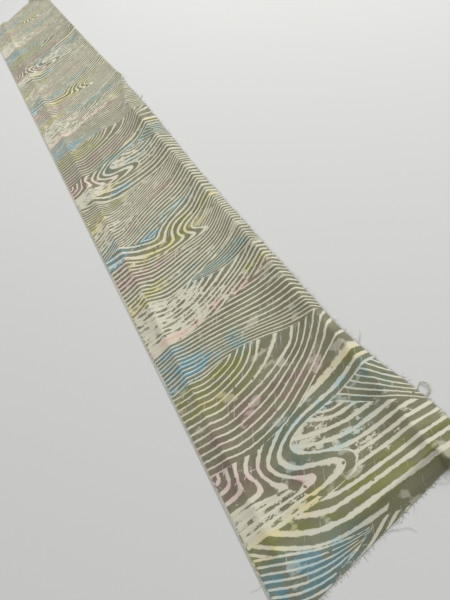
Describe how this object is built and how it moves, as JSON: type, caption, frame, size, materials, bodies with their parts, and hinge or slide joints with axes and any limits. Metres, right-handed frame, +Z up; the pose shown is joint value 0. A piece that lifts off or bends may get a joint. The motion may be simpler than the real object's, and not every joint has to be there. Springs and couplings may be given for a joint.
{
  "type": "streamer cloth strip",
  "caption": "Long unsewn strip of flowing-line printed cloth for a streamer, lying open, with creased margins, a drooping near lip, a turned-up far corner and frayed raw edges.",
  "frame": {"origin": "middle of the bottom of the whole strip's box, on the surface it lies on", "axes": "+Z up, +Y along the strip from the near end (the wide lip) to the far end (the turned-up corner), +X from the woven selvage to the raw cut edge"},
  "size_m": [0.1863, 1.3488, 0.0323],
  "materials": {
    "printed_cloth": "matt",
    "selvage_weave": "matt",
    "raw_yarn": "matt"
  },
  "bodies": {
    "panel": {"main_panel": "printed_cloth", "far_edge_fringe": "raw_yarn", "far_fold_yarn": "raw_yarn"},
    "selvage_side": {"selvage_margin": "printed_cloth", "selvage_band": "selvage_weave", "selvage_stray_yarn": "raw_yarn"},
    "cut_side": {"cut_margin": "printed_cloth", "cut_margin_fringe": "raw_yarn", "margin_spike_yarn": "raw_yarn", "margin_yarn_loop": "raw_yarn", "margin_yarn_tuft": "raw_yarn"},
    "turned_side": {"turned_under_margin": "printed_cloth"},
    "lip": {"near_lip": "printed_cloth", "near_lip_fringe": "raw_yarn", "near_curl_yarn": "raw_yarn", "near_wisp_yarn": "raw_yarn"},
    "far_corner": {"far_corner_flap": "printed_cloth"}
  },
  "joints": [
    {"name": "selvage_fold", "type": "hinge", "parent": "panel", "child": "selvage_side", "pos_m": [-0.0641, -0.6849, 0.00525], "axis": [0.0151, 0.9999, 0], "range_deg": [0, 165]},
    {"name": "cut_side_fold", "type": "hinge", "parent": "panel", "child": "cut_side", "pos_m": [0.0639, -0.6849, 0.0092], "axis": [0.01, -0.9999, 0], "range_deg": [0, 175]},
    {"name": "turned_margin_fold", "type": "hinge", "parent": "panel", "child": "turned_side", "pos_m": [0.0799, 0, 0.0012], "axis": [0, -1, 0], "range_deg": [0, 180]},
    {"name": "near_lip_fold", "type": "hinge", "parent": "panel", "child": "lip", "pos_m": [-0.0641, -0.6538, 0.003], "axis": [-0.9934, -0.1043, -0.0481], "range_deg": [0, 85]},
    {"name": "far_corner_fold", "type": "hinge", "parent": "panel", "child": "far_corner", "pos_m": [0.0349, 0.6658, 0.0028], "axis": [0.487, -0.8734, 0], "range_deg": [-38, 120]}
  ]
}
